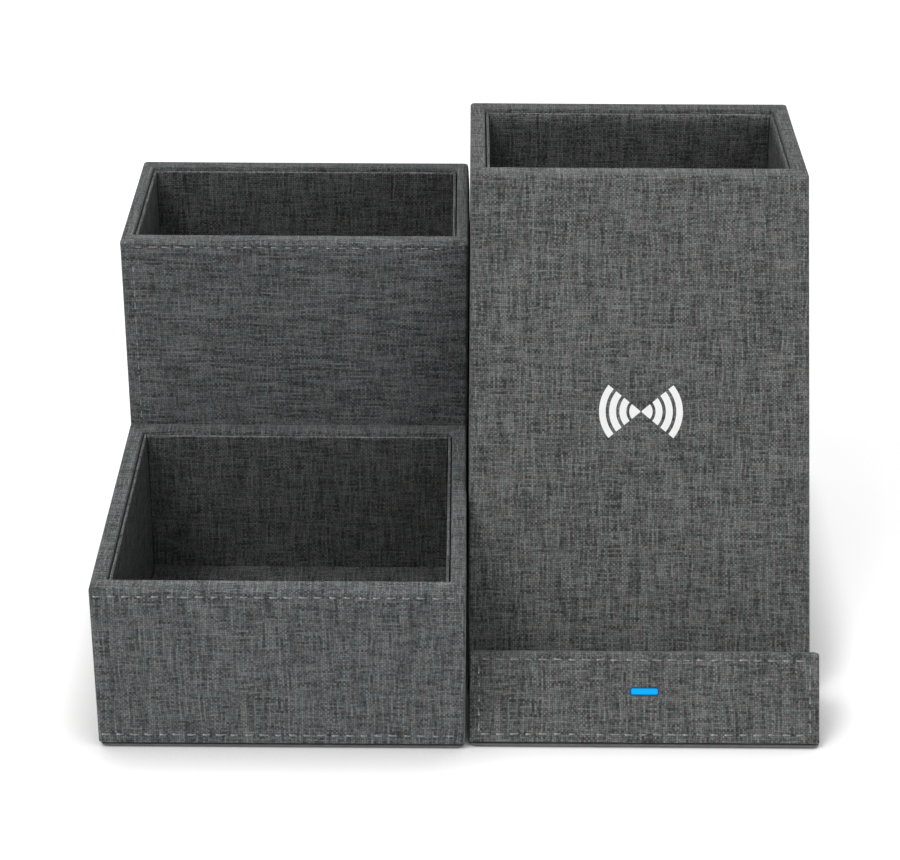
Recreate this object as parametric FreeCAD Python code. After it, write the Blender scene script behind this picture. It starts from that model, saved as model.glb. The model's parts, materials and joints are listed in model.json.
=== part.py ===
import FreeCAD, Part
import math
import os
from FreeCAD import Vector

# A desk organizer in two cloth-covered cases that stand side by side. The storage module has a low
# tray in front of a tall bin. The charging module has a leaning charging panel with a lip, and a pen
# bin behind the panel. X runs to the right, Y to the back and Z up. The origin is under the middle.
# All sizes are in millimetres and all angles in degrees.

# Overall sizes
depth = 162.0             # front to back, both modules
storage_width = 101.6
charger_width = 97.8
module_gap = 0.6          # seam between the modules, closed by magnets
tray_depth = 98.0
tray_height = 51.0
bin_height = 110.5
charger_height = 130.5

# Cloth, boards and cards
fabric = 0.5              # cloth glued over the boards
tray_side_wall = 4.4      # cloth, board and cloth
tray_end_wall = 5.4
bin_side_wall = 3.4
bin_end_wall = 5.2
charger_side_wall = 4.4
charger_end_wall = 6.0
floor_thickness = 2.5
lining_thickness = 1.2
rim_drop = 1.0            # the linings end this far below the rims
floor_card_thickness = 1.2
floor_card_clearance = 0.2

# Base sheets and feet
foot_height = 0.5
foot_radius = 5.0
foot_inset = 13.0
base_thickness = 1.2
base_inset = 0.3

# Leaning panel, ledge and lip
panel_lean = 30.0         # from upright
panel_board_thickness = 3.2
lip_setback = 0.5         # lip face from the front, at floor level
lip_thickness = 8.5
slot_width = 13.5         # room for a phone in its case
ledge_rise = 5.0          # ledge from the floor, along the panel
lip_depth = 9.3           # the slot's depth, from ledge to lip top
partition_thickness = 2.0
pen_floor_underside = 14.0

# Magnets between the modules
magnet_radius = 5.0
magnet_skin = 0.6         # board left behind a magnet in the bin's thin wall
magnet_clearance = 0.05
tray_magnet_from_rear = 22.0
tray_magnet_height = 25.0
bin_magnet_low = 30.0
bin_magnet_high = 88.0

# Charging coil and its carrier
coil_height = 77.0        # coil centre above the ledge, along the panel
coil_radius = 22.0
coil_hole_radius = 10.0
coil_thickness = 1.2
coil_clearance = 0.8
ferrite_size = 50.0
ferrite_thickness = 0.8
ferrite_clearance = 0.2
carrier_size = 62.0
carrier_thickness = 2.8
carrier_screw_inset = 3.4

# Light in the lip
led_drop = 10.9           # light centre below the lip's top
led_width = 8.0
led_height = 2.3
led_window_depth = 3.0
led_board_width = 14.0
led_board_height = 5.0
led_board_thickness = 1.2
led_pocket_clearance = 0.5

# Charger board
board_thickness = 1.2     # both circuit boards
pcb_width = 56.0
pcb_length = 36.0
pcb_to_partition = 11.0
pcb_screw_inset = 3.0
standoff_height = 4.0
standoff_radius = 2.2
connector_width = 7.0
connector_length = 5.0
connector_height = 4.0
power_offset = 12.0       # power connector right of the middle
coil_offset = -14.0       # coil connector left of the middle
component_gap = 1.5
controller_side = 5.0
controller_height = 1.0
driver_side = 6.0
driver_height = 1.2
inductor_side = 8.0
inductor_height = 4.5
filter_length = 4.0
filter_width = 3.0
filter_height = 1.6
capacitor_length = 7.0
capacitor_width = 4.0
capacitor_height = 6.0

# Screws, all alike
screw_radius = 1.0
screw_length = 5.0
screw_head_radius = 1.9
screw_head_height = 1.4
screw_clearance = 0.05

# Power inlet in the back
socket_width = 8.94
socket_height = 3.26
socket_length = 7.35
socket_wall = 0.35
socket_floor = 1.1
tongue_width = 6.6
tongue_height = 0.7
tongue_gap = 0.6          # tongue tip behind the mouth
port_width = 16.0
port_height = 8.8
port_recess = 0.3         # surround behind the cloth, and socket behind the surround
surround_depth = 2.2
surround_clearance = 0.1
port_board_width = 14.0
port_board_length = 20.0
port_screw_from_rear = 9.6
port_screw_half_spacing = 4.4

# Inner leads
power_lead_radius = 1.4
coil_lead_radius = 0.9
led_lead_radius = 0.6
lead_channel_clearance = 0.5
power_lead_bend = 12.0
coil_lead_bend = 6.0
led_lead_bend = 2.4

# Planes and levels that follow from the sizes
lean = math.radians(panel_lean)
storage_x0 = -(storage_width + module_gap + charger_width) / 2
storage_x1 = storage_x0 + storage_width
charger_x0 = storage_x1 + module_gap
charger_x1 = charger_x0 + charger_width
charger_mid_x = (charger_x0 + charger_x1) / 2
front_y = -depth / 2
rear_y = depth / 2
tray_rear_y = front_y + tray_depth
base_top = foot_height + base_thickness
edge_radius = 2 * fabric  # outer bend of the cloth over a sharp board
panel_foot_y = front_y + lip_setback + (slot_width + lip_thickness) / math.cos(lean)
panel_depth = fabric + panel_board_thickness
lip_out = slot_width + lip_thickness
lip_top = ledge_rise + lip_depth
led_up = lip_top - led_drop
coil_up = ledge_rise + coil_height
magnet_thickness = bin_side_wall - 2 * fabric - magnet_skin
pcb_bottom = base_top + standoff_height
pcb_top = pcb_bottom + board_thickness
lead_level = pcb_top + connector_height / 2
socket_level = pcb_top + socket_height / 2

parts = {}


def slope(up, out):
    """Y and Z of a point 'up' along the leaning panel from floor level and 'out' in front of it."""
    y = panel_foot_y + up * math.sin(lean) - out * math.cos(lean)
    z = up * math.cos(lean) + out * math.sin(lean)
    return y, z


def at_height(z, out):
    """Y and Z where the plane 'out' in front of the panel passes the height z."""
    return slope((z - out * math.sin(lean)) / math.cos(lean), out)


def block(x0, x1, y0, y1, z0, z1):
    return Part.makeBox(x1 - x0, y1 - y0, z1 - z0, Vector(x0, y0, z0))


def prism(outline, x0, x1):
    corners = [Vector(x0, y, z) for y, z in outline]
    face = Part.Face(Part.makePolygon(corners + corners[:1]))
    return face.extrude(Vector(x1 - x0, 0, 0))


def slope_block(x0, x1, up0, up1, out0, out1):
    """A box that lies square to the leaning panel."""
    outline = [slope(up0, out0), slope(up1, out0), slope(up1, out1), slope(up0, out1)]
    return prism(outline, x0, x1)


def slope_disc(x, up, out0, out1, radius):
    """A disc square to the leaning panel, from the plane out0 back to the plane out1."""
    start = Vector(x, *slope(up, out0))
    way = Vector(x, *slope(up, out1)) - start
    return Part.makeCylinder(radius, way.Length, start, way)


def joined(solids):
    return solids[0].multiFuse(solids[1:]).removeSplitter()


def softened(solid):
    """Rounds every edge but those of the underside, as cloth does over a board."""
    bottom = solid.BoundBox.ZMin
    edges = [edge for edge in solid.Edges if edge.BoundBox.ZMax > bottom + fabric]
    return solid.makeFillet(edge_radius, edges)


def stadium(x, z, y0, y1, width, height):
    """A bar along Y whose ends across X are half round."""
    radius = height / 2
    reach = width / 2 - radius
    middle = block(x - reach, x + reach, y0, y1, z - radius, z + radius)
    ends = [Part.makeCylinder(radius, y1 - y0, Vector(x + side * reach, y0, z), Vector(0, 1, 0))
            for side in (-1, 1)]
    return joined([middle] + ends)


def lead_tube(name, points, radius, bend):
    """A lead along straight runs that tangent arcs join."""
    edges = []
    start = points[0]
    for before, corner, after in zip(points, points[1:], points[2:]):
        way_in = (corner - before).normalize()
        way_out = (after - corner).normalize()
        half_turn = way_in.getAngle(way_out) / 2
        arc_start = corner - way_in * (bend * math.tan(half_turn))
        arc_end = corner + way_out * (bend * math.tan(half_turn))
        inward = (way_out - way_in).normalize()
        arc_middle = corner + inward * (bend / math.cos(half_turn) - bend)
        edges.append(Part.LineSegment(start, arc_start).toShape())
        edges.append(Part.Arc(arc_start, arc_middle, arc_end).toShape())
        start = arc_end
    edges.append(Part.LineSegment(start, points[-1]).toShape())
    path = Part.Wire(edges)
    section = Part.Wire(Part.makeCircle(radius, points[0], points[1] - points[0]))
    tube = path.makePipeShell([section], True, False)
    expected = math.pi * radius ** 2 * path.Length
    share = tube.Volume / expected
    print(f"{name}: bend {bend} mm, length {path.Length:.1f} mm, volume {share:.4f} of section x length")
    return tube


# Walled cases: tray and bin

def case_boards(name, x0, x1, y0, y1, top, side_wall, end_wall):
    """Side boards from front to back, with front and rear boards between them."""
    side = side_wall - fabric
    end = end_wall - fabric
    z1 = top - fabric
    boards = {
        "left": block(x0 + fabric, x0 + side, y0 + fabric, y1 - fabric, base_top, z1),
        "right": block(x1 - side, x1 - fabric, y0 + fabric, y1 - fabric, base_top, z1),
        "front": block(x0 + side, x1 - side, y0 + fabric, y0 + end, base_top, z1),
        "rear": block(x0 + side, x1 - side, y1 - end, y1 - fabric, base_top, z1),
    }
    for place, board in boards.items():
        parts[f"{name}_{place}_board"] = board
    return list(boards.values())


def case_cover(name, x0, x1, y0, y1, top, side_wall, end_wall, boards):
    outside = softened(block(x0, x1, y0, y1, base_top, top))
    inside = block(x0 + side_wall, x1 - side_wall, y0 + end_wall, y1 - end_wall, 0, top + rim_drop)
    parts[f"{name}_cover"] = outside.cut([inside] + boards)


def case_lining(name, x0, x1, y0, y1, floor, top):
    """Floor board, four lining cards that stand on it, and the floor card between them."""
    card = lining_thickness
    z0 = floor + floor_thickness
    z1 = top - rim_drop
    parts[f"{name}_floor_board"] = block(x0, x1, y0, y1, floor, z0)
    parts[f"{name}_lining_left"] = block(x0, x0 + card, y0, y1, z0, z1)
    parts[f"{name}_lining_right"] = block(x1 - card, x1, y0, y1, z0, z1)
    parts[f"{name}_lining_front"] = block(x0 + card, x1 - card, y0, y0 + card, z0, z1)
    parts[f"{name}_lining_rear"] = block(x0 + card, x1 - card, y1 - card, y1, z0, z1)
    gap = card + floor_card_clearance
    parts[f"{name}_floor_card"] = block(x0 + gap, x1 - gap, y0 + gap, y1 - gap, z0, z0 + floor_card_thickness)


def walled_case(name, x0, x1, y0, y1, top, side_wall, end_wall):
    boards = case_boards(name, x0, x1, y0, y1, top, side_wall, end_wall)
    case_cover(name, x0, x1, y0, y1, top, side_wall, end_wall, boards)
    case_lining(name, x0 + side_wall, x1 - side_wall, y0 + end_wall, y1 - end_wall, base_top, top)


# Base sheets, feet and magnets

def base_and_feet(name, x0, x1):
    y0 = front_y + base_inset
    y1 = rear_y - base_inset
    parts[f"{name}_base_board"] = block(x0 + base_inset, x1 - base_inset, y0, y1, foot_height, base_top)
    feet = [Part.makeCylinder(foot_radius, foot_height, Vector(x, y, 0))
            for x in (x0 + foot_inset, x1 - foot_inset)
            for y in (front_y + foot_inset, rear_y - foot_inset)]
    parts[f"{name}_feet"] = Part.makeCompound(feet)


def magnet_discs(x_face, way, spots, radius):
    """Discs that lie against the face at x_face and reach into the board, way being 1 or -1."""
    return [Part.makeCylinder(radius, magnet_thickness, Vector(x_face, y, z), Vector(way, 0, 0))
            for y, z in spots]


def magnets():
    bin_middle_y = (tray_rear_y + rear_y) / 2
    tray_spot = (tray_rear_y - tray_magnet_from_rear, tray_magnet_height)
    bin_spots = [(bin_middle_y, bin_magnet_low), (bin_middle_y, bin_magnet_high)]
    storage_face = storage_x1 - fabric
    charger_face = charger_x0 + fabric
    pocket_radius = magnet_radius + magnet_clearance
    tray_pocket = magnet_discs(storage_face, -1, [tray_spot], pocket_radius)
    bin_pockets = magnet_discs(storage_face, -1, bin_spots, pocket_radius)
    charger_pockets = magnet_discs(charger_face, 1, [tray_spot] + bin_spots, pocket_radius)
    parts["tray_right_board"] = parts["tray_right_board"].cut(tray_pocket)
    parts["bin_right_board"] = parts["bin_right_board"].cut(bin_pockets)
    parts["charger_left_board"] = parts["charger_left_board"].cut(charger_pockets)
    spots = [tray_spot] + bin_spots
    parts["storage_magnets"] = Part.makeCompound(magnet_discs(storage_face, -1, spots, magnet_radius))
    parts["charger_magnets"] = Part.makeCompound(magnet_discs(charger_face, 1, spots, magnet_radius))


# Charging module's case

def charger_case():
    x0 = charger_x0
    x1 = charger_x1
    side = charger_side_wall - fabric
    end = charger_end_wall - fabric
    top = charger_height
    pen_y0 = at_height(top, -panel_depth)[0]
    outer = [at_height(base_top, 0), at_height(top, 0), (rear_y, top), (rear_y, base_top)]
    board_top = top - fabric
    side_outline = [at_height(base_top, -fabric), at_height(board_top, -fabric),
                    (rear_y - fabric, board_top), (rear_y - fabric, base_top)]
    panel_outline = [at_height(base_top, -fabric), at_height(board_top, -fabric),
                     at_height(board_top, -panel_depth), at_height(base_top, -panel_depth)]
    void_outline = [at_height(base_top, -panel_depth), (pen_y0, top), (pen_y0, base_top)]
    left = prism(side_outline, x0 + fabric, x0 + side)
    right = prism(side_outline, x1 - side, x1 - fabric)
    panel = prism(panel_outline, x0 + side, x1 - side)
    rear = block(x0 + side, x1 - side, rear_y - end, rear_y - fabric, base_top, board_top)
    void = prism(void_outline, x0 + side, x1 - side)
    pen_room = block(x0 + charger_side_wall, x1 - charger_side_wall, pen_y0,
                     rear_y - charger_end_wall, 0, top + rim_drop)
    case = softened(prism(outer, x0, x1))
    parts["charger_cover"] = case.cut([left, right, panel, rear, void, pen_room])
    parts["charger_left_board"] = left
    parts["charger_right_board"] = right
    parts["panel_board"] = panel
    parts["charger_rear_board"] = rear
    partition_y1 = pen_y0 + partition_thickness
    parts["pen_partition_board"] = block(x0 + charger_side_wall, x1 - charger_side_wall,
                                         pen_y0, partition_y1, base_top, top - rim_drop)
    case_lining("pen", x0 + charger_side_wall, x1 - charger_side_wall, partition_y1,
                rear_y - charger_end_wall, pen_floor_underside, top)
    return pen_y0


def lip_and_ledge():
    """The leaning lip board, the wedge-shaped ledge behind it, and the cloth over both."""
    inner = slot_width + fabric
    outer = lip_out - fabric
    board_outline = [at_height(base_top, outer), slope(lip_top - fabric, outer),
                     slope(lip_top - fabric, inner), at_height(base_top, inner)]
    block_outline = [at_height(base_top, inner), slope(ledge_rise - fabric, inner),
                     slope(ledge_rise - fabric, 0), at_height(base_top, 0)]
    cover_outline = [at_height(base_top, lip_out), slope(lip_top, lip_out), slope(lip_top, slot_width),
                     slope(ledge_rise, slot_width), slope(ledge_rise, 0), at_height(base_top, 0)]
    x0 = charger_x0 + fabric
    x1 = charger_x1 - fabric
    board = prism(board_outline, x0, x1)
    wedge = prism(block_outline, x0, x1)
    cover = prism(cover_outline, charger_x0, charger_x1)
    rounded = [edge for edge in cover.Edges if edge.BoundBox.ZMin > slope(lip_top, slot_width)[1] - fabric]
    cover = cover.makeFillet(edge_radius, rounded)
    parts["lip_board"] = board
    parts["ledge_block"] = wedge
    parts["lip_cover"] = cover.cut([board, wedge])


# Light in the lip, with its board and lead

def lip_light(pcb_front_y):
    x = charger_mid_x
    radius = led_height / 2
    reach = led_width / 2 - radius
    face = lip_out
    back = lip_out - led_window_depth
    bar = slope_block(x - reach, x + reach, led_up - radius, led_up + radius, face, back)
    ends = [slope_disc(x + side * reach, led_up, face, back, radius) for side in (-1, 1)]
    window = joined([bar] + ends)
    board_back = back - led_board_thickness
    half = led_board_width / 2
    up0 = led_up - led_board_height / 2
    up1 = led_up + led_board_height / 2
    gap = led_pocket_clearance
    parts["led_window"] = window
    parts["led_board"] = slope_block(x - half, x + half, up0, up1, back, board_back)
    pocket = slope_block(x - half - gap, x + half + gap, up0 - gap, up1 + gap, back, slot_width + fabric)
    start_y, start_z = slope(led_up, board_back)
    turn_y, turn_z = slope(led_up, board_back - 2 * led_lead_bend * math.tan(lean))
    room = led_lead_radius + lead_channel_clearance
    low = base_top + room
    channel_end = at_height(base_top + 2 * room, -panel_depth)[0]
    shaft = block(x - room, x + room, turn_y - room, turn_y + room, base_top, turn_z + room)
    floor_channel = block(x - room, x + room, turn_y - room, channel_end, base_top, base_top + 2 * room)
    parts["lip_board"] = parts["lip_board"].cut([window, pocket, shaft, floor_channel])
    parts["ledge_block"] = parts["ledge_block"].cut([shaft, floor_channel])
    parts["lip_cover"] = parts["lip_cover"].cut(window)
    parts["charger_cover"] = parts["charger_cover"].cut(floor_channel)
    parts["panel_board"] = parts["panel_board"].cut(floor_channel)
    rise = lead_level - low
    points = [Vector(x, start_y, start_z), Vector(x, turn_y, turn_z), Vector(x, turn_y, low),
              Vector(x, pcb_front_y - 3 * rise, low), Vector(x, pcb_front_y - 1.5 * rise, lead_level),
              Vector(x, pcb_front_y, lead_level)]
    parts["led_lead"] = lead_tube("led_lead", points, led_lead_radius, led_lead_bend)


# Charging coil behind the panel

def screw(start, way):
    """A screw whose head seats at start, with the shank running along way."""
    shank = Part.makeCylinder(screw_radius, screw_length, start, way)
    head = Part.makeCylinder(screw_head_radius, screw_head_height, start, -way)
    return joined([shank, head])


def screw_hole(start, way):
    return Part.makeCylinder(screw_radius + screw_clearance, screw_length + screw_clearance, start, way)


def coil_assembly():
    """Coil, shield and carrier on the back of the panel board. Returns the carrier's screws."""
    x = charger_mid_x
    back = -panel_depth
    coil_face = back + coil_thickness
    coil = slope_disc(x, coil_up, coil_face, back, coil_radius)
    coil_hole = slope_disc(x, coil_up, coil_face, back, coil_hole_radius)
    parts["charging_coil"] = coil.cut(coil_hole)
    recess = slope_disc(x, coil_up, coil_face, back, coil_radius + coil_clearance)
    half = ferrite_size / 2
    shield_back = back - ferrite_thickness
    parts["ferrite_sheet"] = slope_block(x - half, x + half, coil_up - half, coil_up + half,
                                         back, shield_back)
    seat = half + ferrite_clearance
    pocket = slope_block(x - seat, x + seat, coil_up - seat, coil_up + seat, back, shield_back)
    rim = carrier_size / 2
    carrier_back = back - carrier_thickness
    carrier = slope_block(x - rim, x + rim, coil_up - rim, coil_up + rim, back, carrier_back)
    window = slope_disc(x, coil_up, shield_back, carrier_back, coil_radius)
    reach = rim - carrier_screw_inset
    way = Vector(0, -math.cos(lean), math.sin(lean))
    seats = [Vector(x + i * reach, *slope(coil_up + j * reach, carrier_back))
             for i in (-1, 1) for j in (-1, 1)]
    holes = [screw_hole(seat_point, way) for seat_point in seats]
    parts["coil_carrier"] = carrier.cut([pocket, window] + holes)
    parts["panel_board"] = parts["panel_board"].cut([recess] + holes)
    return [screw(seat_point, way) for seat_point in seats]


def coil_wiring(pcb_y0):
    """Lead from the carrier's lower edge down to its connector. Returns the connector."""
    x = charger_mid_x + coil_offset
    y = pcb_y0 + 2 * connector_length
    out = -panel_depth - carrier_thickness / 2
    edge = coil_up - carrier_size / 2
    start = Vector(x, *slope(edge, out))
    below = Vector(x, *slope(edge - 3 * coil_lead_bend, out))
    top = pcb_top + connector_height
    above = Vector(x, y, top + 2 * coil_lead_bend)
    points = [start, below, above, Vector(x, y, top)]
    parts["coil_lead"] = lead_tube("coil_lead", points, coil_lead_radius, coil_lead_bend)
    return connector(x, y)


# Circuit boards, standoffs and connectors

def connector(x, y):
    half = connector_width / 2
    reach = connector_length / 2
    return block(x - half, x + half, y - reach, y + reach, pcb_top, pcb_top + connector_height)


def board_on_standoffs(name, x0, x1, y0, y1, spots):
    """A circuit board on standoffs. Returns the standoffs and the screws."""
    board = block(x0, x1, y0, y1, pcb_bottom, pcb_top)
    down = Vector(0, 0, -1)
    seats = [Vector(x, y, pcb_top) for x, y in spots]
    holes = [screw_hole(seat, down) for seat in seats]
    parts[name] = board.cut(holes)
    posts = [Part.makeCylinder(standoff_radius, standoff_height, Vector(x, y, base_top)).cut(hole)
             for (x, y), hole in zip(spots, holes)]
    return posts, [screw(seat, down) for seat in seats]


def charger_board(y0, y1):
    x0 = charger_mid_x - pcb_width / 2
    x1 = charger_mid_x + pcb_width / 2
    inset = pcb_screw_inset
    spots = [(x, y) for x in (x0 + inset, x1 - inset) for y in (y0 + inset, y1 - inset)]
    return board_on_standoffs("charger_pcb", x0, x1, y0, y1, spots)


def board_parts(y0, y1):
    """Chips, inductor, filter and capacitors, in columns and rows from the board's middle."""
    column = inductor_side + component_gap
    row = driver_side + component_gap
    places = [(0, 0, controller_side, controller_side, controller_height),
              (0, 1, driver_side, driver_side, driver_height),
              (1, 0, inductor_side, inductor_side, inductor_height),
              (1, 1, filter_length, filter_width, filter_height),
              (2, 0, capacitor_length, capacitor_width, capacitor_height),
              (2, -1, capacitor_length, capacitor_width, capacitor_height)]
    solids = []
    for i, j, length, width, height in places:
        x = charger_mid_x + i * column
        y = (y0 + y1) / 2 + j * row
        solids.append(block(x - length / 2, x + length / 2, y - width / 2, y + width / 2,
                            pcb_top, pcb_top + height))
    return solids


def power_inlet():
    """Socket, its board and its surround in the rear wall. Returns standoffs, screws and connector."""
    x = charger_mid_x
    z = socket_level
    face_y = rear_y - port_recess
    mouth_y = face_y - port_recess
    end_y = mouth_y - socket_length
    shell = stadium(x, z, end_y, mouth_y, socket_width, socket_height)
    room = stadium(x, z, end_y + socket_floor, mouth_y, socket_width - 2 * socket_wall,
                   socket_height - 2 * socket_wall)
    half = tongue_width / 2
    tongue = block(x - half, x + half, end_y, mouth_y - tongue_gap,
                   z - tongue_height / 2, z + tongue_height / 2)
    parts["usb_c_socket"] = joined([shell.cut(room), tongue])
    hole = block(x - port_width / 2, x + port_width / 2, rear_y - charger_end_wall - fabric,
                 rear_y + fabric, z - port_height / 2, z + port_height / 2)
    frame = block(x - port_width / 2, x + port_width / 2, face_y - surround_depth, face_y,
                  z - port_height / 2, z + port_height / 2)
    passage = stadium(x, z, face_y - surround_depth, face_y, socket_width + 2 * surround_clearance,
                      socket_height + 2 * surround_clearance)
    parts["port_surround"] = frame.cut(passage)
    parts["charger_cover"] = parts["charger_cover"].cut(hole)
    parts["charger_rear_board"] = parts["charger_rear_board"].cut(hole)
    board_y1 = face_y - surround_depth - surround_clearance
    board_y0 = board_y1 - port_board_length
    half = port_board_width / 2
    spots = [(x + side * port_screw_half_spacing, board_y1 - port_screw_from_rear) for side in (-1, 1)]
    posts, screws = board_on_standoffs("port_board", x - half, x + half, board_y0, board_y1, spots)
    return posts, screws, connector(x, board_y0 + connector_length / 2), board_y0


def power_wiring(pcb_y1, port_board_y0, pen_y0):
    """Lead from the inlet's board, through a notch under the pen bin, to the charger board."""
    x0 = charger_mid_x
    x1 = charger_mid_x + power_offset
    notch_y1 = pen_y0 + partition_thickness
    room = power_lead_radius + lead_channel_clearance
    notch = block(x1 - room, x1 + room, pen_y0, notch_y1, base_top, lead_level + room)
    parts["pen_partition_board"] = parts["pen_partition_board"].cut(notch)
    span = port_board_y0 - notch_y1
    points = [Vector(x0, port_board_y0, lead_level), Vector(x0, port_board_y0 - 0.3 * span, lead_level),
              Vector(x1, notch_y1 + 0.2 * span, lead_level), Vector(x1, pcb_y1, lead_level)]
    parts["power_lead"] = lead_tube("power_lead", points, power_lead_radius, power_lead_bend)


def electronics(pen_y0):
    pcb_y1 = pen_y0 - pcb_to_partition
    pcb_y0 = pcb_y1 - pcb_length
    half = connector_length / 2
    coil_screws = coil_assembly()
    coil_connector = coil_wiring(pcb_y0)
    pcb_posts, pcb_screws = charger_board(pcb_y0, pcb_y1)
    port_posts, port_screws, port_connector, port_board_y0 = power_inlet()
    power_wiring(pcb_y1, port_board_y0, pen_y0)
    lip_light(pcb_y0)
    connectors = [coil_connector, port_connector, connector(charger_mid_x, pcb_y0 + half),
                  connector(charger_mid_x + power_offset, pcb_y1 - half)]
    parts["lead_connectors"] = Part.makeCompound(connectors)
    parts["pcb_components"] = Part.makeCompound(board_parts(pcb_y0, pcb_y1))
    parts["standoffs"] = Part.makeCompound(pcb_posts + port_posts)
    parts["electronics_screws"] = Part.makeCompound(coil_screws + pcb_screws + port_screws)


walled_case("tray", storage_x0, storage_x1, front_y, tray_rear_y, tray_height, tray_side_wall, tray_end_wall)
walled_case("bin", storage_x0, storage_x1, tray_rear_y, rear_y, bin_height, bin_side_wall, bin_end_wall)
base_and_feet("storage", storage_x0, storage_x1)
base_and_feet("charger", charger_x0, charger_x1)
pen_front_y = charger_case()
lip_and_ledge()
magnets()
electronics(pen_front_y)

os.makedirs("parts", exist_ok=True)
for node, shape in parts.items():
    shape.exportStep(f"parts/{node}.step")
    print(node, "solids", len(shape.Solids), "valid", shape.isValid(), "volume", round(shape.Volume, 1))
print(len(parts), "nodes")
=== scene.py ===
import json
import math
import random
import bpy
from mathutils import Matrix, Vector, noise


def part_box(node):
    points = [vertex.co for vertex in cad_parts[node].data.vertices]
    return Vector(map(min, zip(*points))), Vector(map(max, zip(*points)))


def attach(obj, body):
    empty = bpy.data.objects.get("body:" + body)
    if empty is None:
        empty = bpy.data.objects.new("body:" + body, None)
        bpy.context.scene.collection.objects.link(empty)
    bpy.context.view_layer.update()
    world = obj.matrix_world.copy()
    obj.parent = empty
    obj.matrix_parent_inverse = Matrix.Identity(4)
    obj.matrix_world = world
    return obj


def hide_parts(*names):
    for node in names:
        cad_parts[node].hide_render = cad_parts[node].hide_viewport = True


# Desk organizer in two cloth-covered cases. Lengths are in millimetres until makePiece makes them metres.

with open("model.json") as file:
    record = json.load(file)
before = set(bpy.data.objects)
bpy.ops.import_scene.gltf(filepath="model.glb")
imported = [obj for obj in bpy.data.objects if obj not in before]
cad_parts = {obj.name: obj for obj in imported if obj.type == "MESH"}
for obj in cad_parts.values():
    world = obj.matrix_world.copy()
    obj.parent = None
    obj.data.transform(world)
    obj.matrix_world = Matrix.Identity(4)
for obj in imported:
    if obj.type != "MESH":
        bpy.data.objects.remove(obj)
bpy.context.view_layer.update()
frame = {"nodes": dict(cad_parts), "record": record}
mm = 0.001
charging = "charging_module"
storage = "storage_module"
right, back, upright = Vector((1, 0, 0)), Vector((0, 1, 0)), Vector((0, 0, 1))


def nodeBox(node):
    low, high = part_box(node)
    return low / mm, high / mm


# Camera, floor and light

studio = {
    "cameraPlace": (-0.2, -673.9, 404.2), "pitch": 27.196, "yaw": 0.274, "roll": 0.2, "lens": 102.85,
    "ambient": 0.46, "floorSize": 20.0, "floorColour": (0.84, 0.84, 0.84, 1),
    "seenColour": (0.6, 0.6, 0.6, 1), "floorLift": 0.70, "nearShade": 0.02,   # of the floor seen directly
}
lamps = {  # place and aim in metres, size in metres, watts
    "keyLamp": ((-0.86, -0.74, 1.74), (0, 0, 0.05), 0.9, 19.8, (1.0, 0.995, 0.985)),
    "fillLamp": ((1.1, -1.3, 0.8), (0, 0, 0.05), 1.2, 6.0, (0.97, 0.99, 1.0)),
}


def placeCamera():
    data = bpy.data.cameras.new("photoCamera")
    data.lens = studio["lens"]
    data.sensor_width = 36.0
    data.clip_start = 0.05
    camera = bpy.data.objects.new("photoCamera", data)
    bpy.context.collection.objects.link(camera)
    pitch, yaw, roll = (math.radians(studio[key]) for key in ("pitch", "yaw", "roll"))
    turn = Matrix.Rotation(yaw, 4, "Z") @ Matrix.Rotation(math.pi / 2 - pitch, 4, "X")
    turn = turn @ Matrix.Rotation(roll, 4, "Z")
    camera.matrix_world = Matrix.Translation(Vector(studio["cameraPlace"]) * mm) @ turn
    bpy.context.scene.camera = camera


def placeLamps():
    for name, (place, aim, size, watts, colour) in lamps.items():
        data = bpy.data.lights.new(name, "AREA")
        data.size = size
        data.energy = watts
        data.color = colour
        lamp = bpy.data.objects.new(name, data)
        lamp.location = place
        lamp.rotation_euler = (Vector(aim) - Vector(place)).to_track_quat("-Z", "Y").to_euler()
        lamp.visible_camera = False
        bpy.context.collection.objects.link(lamp)


def addNode(tree, kind, inputs=None, **settings):
    node = tree.nodes.new("ShaderNode" + kind)
    for key, value in settings.items():
        setattr(node, key, value)
    for socket, value in (inputs or {}).items():
        if isinstance(value, bpy.types.NodeSocket):
            tree.links.new(value, node.inputs[socket])
        else:
            node.inputs[socket].default_value = value
    return node


def calc(tree, operation, *values):
    return addNode(tree, "Math", dict(enumerate(values)), operation=operation).outputs[0]


def mixed(tree, share, first, second):
    return addNode(tree, "Mix", {0: share, 2: first, 3: second}).outputs[0]


def tinted(tree, share, first, second, **settings):
    return addNode(tree, "Mix", {0: share, 6: first, 7: second}, data_type="RGBA", **settings).outputs[2]


def seenDirectly(tree):
    path = addNode(tree, "LightPath")
    seen = calc(tree, "MAXIMUM", path.outputs["Is Camera Ray"], path.outputs["Is Glossy Ray"])
    return calc(tree, "MAXIMUM", seen, path.outputs["Is Transmission Ray"])


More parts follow.
